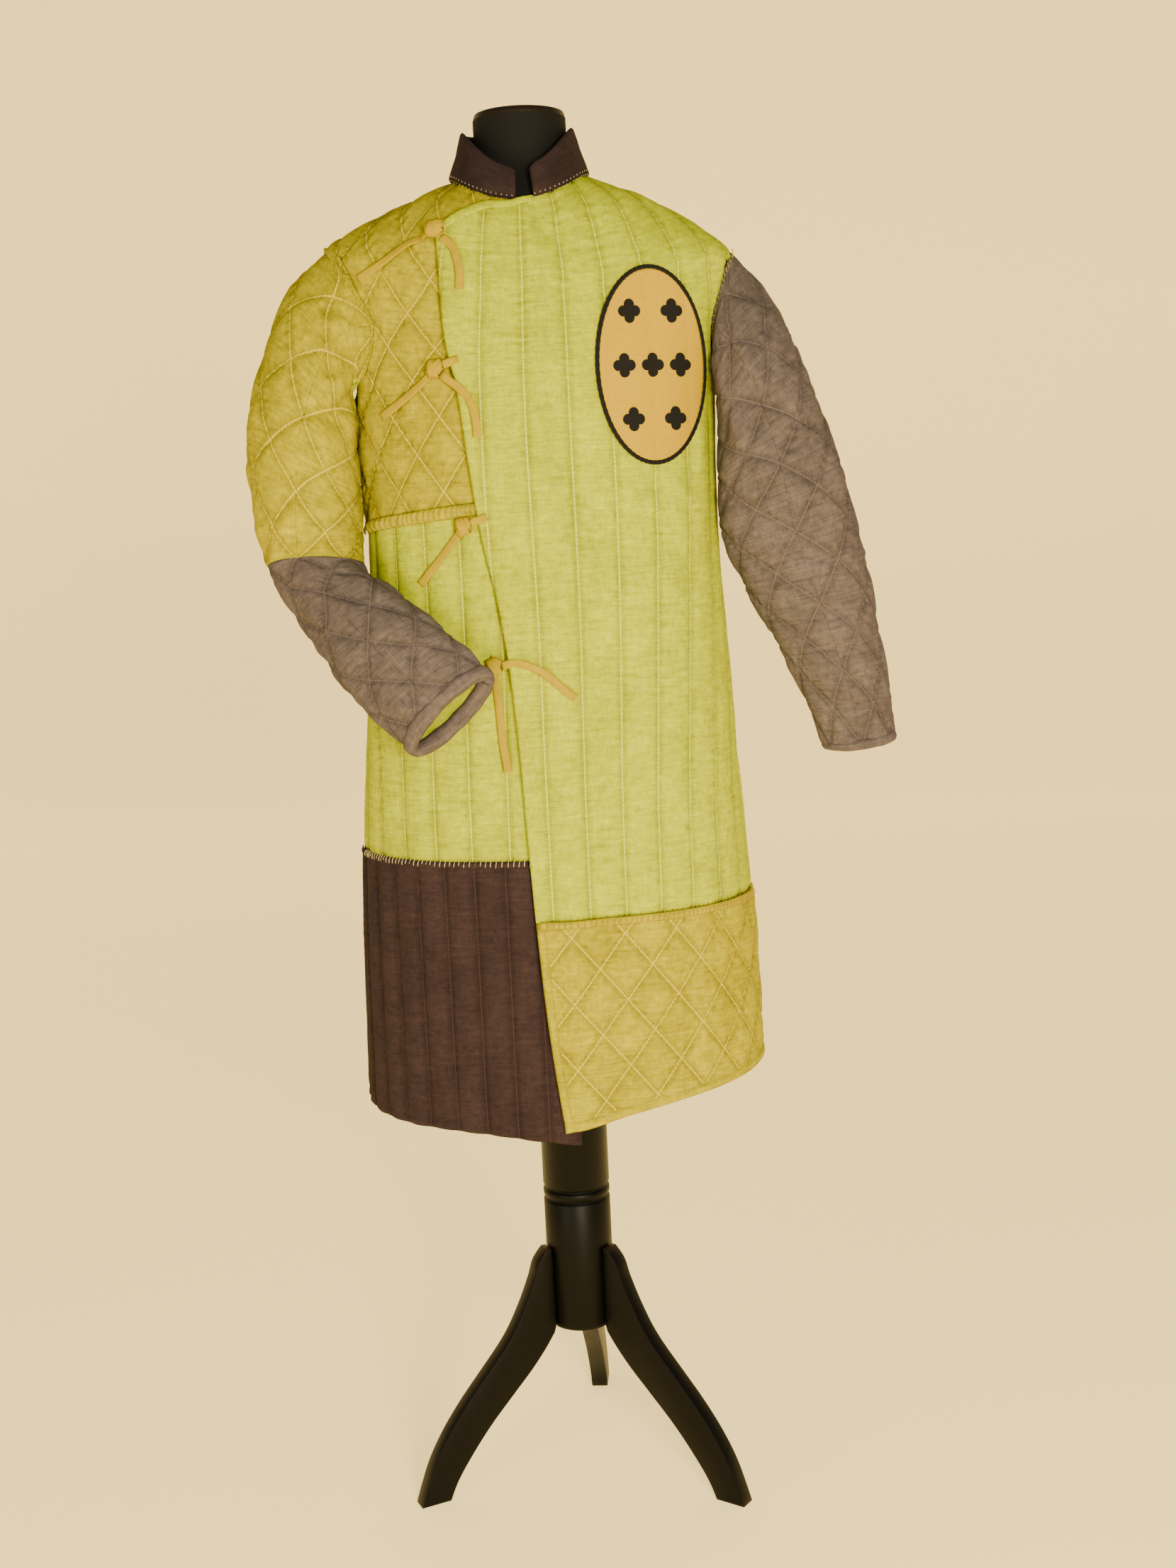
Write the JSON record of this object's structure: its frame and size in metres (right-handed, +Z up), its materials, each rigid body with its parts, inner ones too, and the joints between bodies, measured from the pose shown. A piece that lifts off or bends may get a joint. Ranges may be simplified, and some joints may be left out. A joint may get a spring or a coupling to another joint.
{
  "type": "gambeson on a dress form",
  "caption": "Long quilted arming coat with ribbon ties and a standing collar, worn by a limbless dress form on a turned pole with splayed legs.",
  "frame": {"origin": "centre of the bounding box on the floor plane under the stand's feet", "axes": "+Z up, -Y the wearer's front, +X the wearer's left"},
  "size_m": [0.7586, 0.4418, 1.68],
  "materials": {
    "lime_wool": "matt brushed wool",
    "gold_wool": "matt brushed wool",
    "taupe_linen": "matt linen",
    "brown_felt": "matt felt",
    "marigold_linen": "soft tape and cloth",
    "black_cord": "sewn cord",
    "black_jersey": "stretched jersey",
    "black_paint": "satin black paint on wood",
    "beech_rim": "stained wood"
  },
  "bodies": {
    "root": {"left_front": "lime_wool", "left_front_hem": "gold_wool", "right_front_chest": "gold_wool", "right_front_middle": "lime_wool", "right_front_hem": "brown_felt", "back": "lime_wool", "left_sleeve": "taupe_linen", "right_sleeve_upper": "gold_wool", "right_sleeve_lower": "taupe_linen", "collar": "brown_felt", "patch": "marigold_linen", "patch_border": "black_cord", "tie_1_knot": "marigold_linen", "tie_1_tail_a": "marigold_linen", "tie_1_tail_b": "marigold_linen", "tie_2_knot": "marigold_linen", "tie_2_stub": "marigold_linen", "tie_2_tail_a": "marigold_linen", "tie_2_tail_b": "marigold_linen", "tie_3_knot": "marigold_linen", "tie_3_stub": "marigold_linen", "tie_3_tail_a": "marigold_linen", "tie_4_knot": "marigold_linen", "tie_4_tail_a": "marigold_linen", "tie_4_tail_b": "marigold_linen", "form_torso": "black_jersey", "form_neck_cap": "beech_rim", "stand_column": "black_paint", "leg_rear": "black_paint", "leg_left": "black_paint", "leg_right": "black_paint"}
  },
  "joints": []
}
